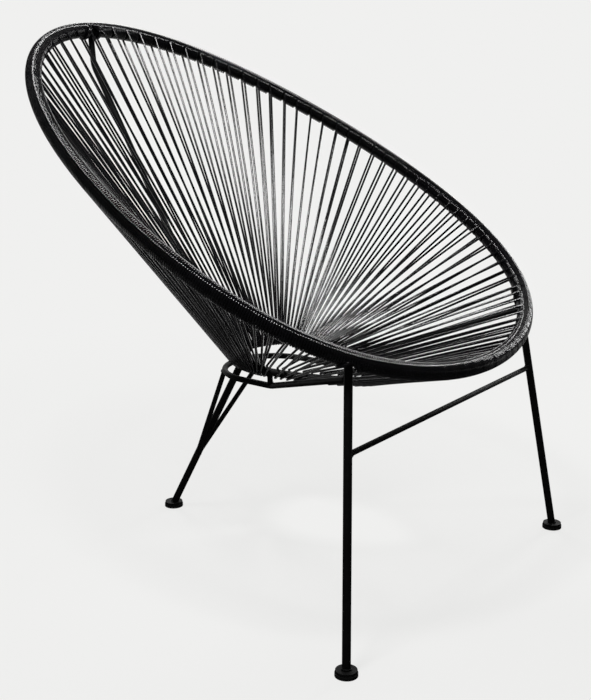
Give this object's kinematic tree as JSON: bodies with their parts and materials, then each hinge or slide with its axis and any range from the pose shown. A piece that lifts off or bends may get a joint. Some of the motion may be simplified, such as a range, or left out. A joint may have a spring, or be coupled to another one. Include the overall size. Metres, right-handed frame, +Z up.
{
  "type": "acapulco chair",
  "caption": "Open patio chair: a tilted egg-shaped steel hoop wound with cord, its strands strung to a small seat ring, on three round-rod legs with padded feet.",
  "frame": {"origin": "on the floor, under the middle of the overall box", "axes": "+Z up, the sitter looks along -Y, +X is the sitter's left"},
  "size_m": [0.7292, 0.8024, 0.8312],
  "materials": {
    "powder_coated_steel": "satin black powder coat on steel tube and rod",
    "black_cord": "glossy black PVC cord",
    "foot_rubber": "matt black rubber"
  },
  "bodies": {
    "root": {"rim_hoop": "powder_coated_steel", "seat_ring": "powder_coated_steel", "back_spine": "powder_coated_steel", "base_loop": "powder_coated_steel", "front_stretcher": "powder_coated_steel", "rear_leg": "powder_coated_steel", "front_leg_left": "powder_coated_steel", "front_leg_right": "powder_coated_steel", "rear_brace_left": "powder_coated_steel", "rear_brace_right": "powder_coated_steel", "ring_post_left": "powder_coated_steel", "ring_post_right": "powder_coated_steel", "foot_plate_front_left": "powder_coated_steel", "foot_plate_front_right": "powder_coated_steel", "foot_plate_rear": "powder_coated_steel", "foot_pad_front_left": "foot_rubber", "foot_pad_front_right": "foot_rubber", "foot_pad_rear": "foot_rubber", "cord_panel_01": "black_cord", "cord_panel_02": "black_cord", "cord_panel_03": "black_cord", "cord_panel_04": "black_cord", "cord_panel_05": "black_cord", "cord_panel_06": "black_cord", "cord_panel_07": "black_cord", "cord_panel_08": "black_cord", "cord_panel_09": "black_cord", "cord_panel_10": "black_cord", "cord_panel_11": "black_cord", "cord_panel_12": "black_cord", "cord_panel_13": "black_cord", "cord_panel_14": "black_cord", "cord_panel_15": "black_cord", "cord_panel_16": "black_cord", "cord_panel_17": "black_cord", "cord_panel_18": "black_cord", "cord_panel_19": "black_cord", "cord_panel_20": "black_cord"}
  },
  "joints": []
}
